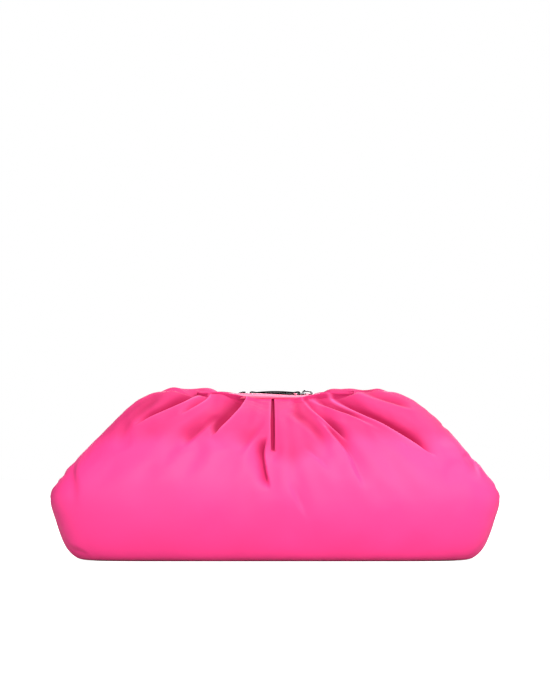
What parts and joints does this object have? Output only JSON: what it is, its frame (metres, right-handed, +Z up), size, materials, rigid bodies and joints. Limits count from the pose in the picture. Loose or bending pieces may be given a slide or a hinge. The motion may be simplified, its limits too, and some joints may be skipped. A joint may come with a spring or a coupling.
{
  "type": "pillow bag",
  "caption": "Padded pillow clutch with a flat base, a gathered top, a bound slit mouth, and a short strap on rings and links lying in the mouth. Holds small personal things.",
  "frame": {"origin": "on the floor, under the middle of the bag", "axes": "+Z up, +X to the right as seen from the front, the front faces -Y"},
  "size_m": [0.379, 0.1284, 0.146],
  "materials": {
    "nylon": "hot-pink padded nylon with a satin sheen",
    "strap": "glossy black",
    "polished_metal": "polished silver colour"
  },
  "bodies": {
    "root": {"front_panel": "nylon", "back_panel": "nylon", "base_panel": "nylon", "front_rim": "nylon", "back_rim": "nylon", "strap_grip": "strap", "strap_ring_left": "polished_metal", "strap_ring_right": "polished_metal", "chain_link_left": "polished_metal", "chain_link_right": "polished_metal", "chain_anchor_left": "polished_metal", "chain_anchor_right": "polished_metal"}
  },
  "joints": []
}
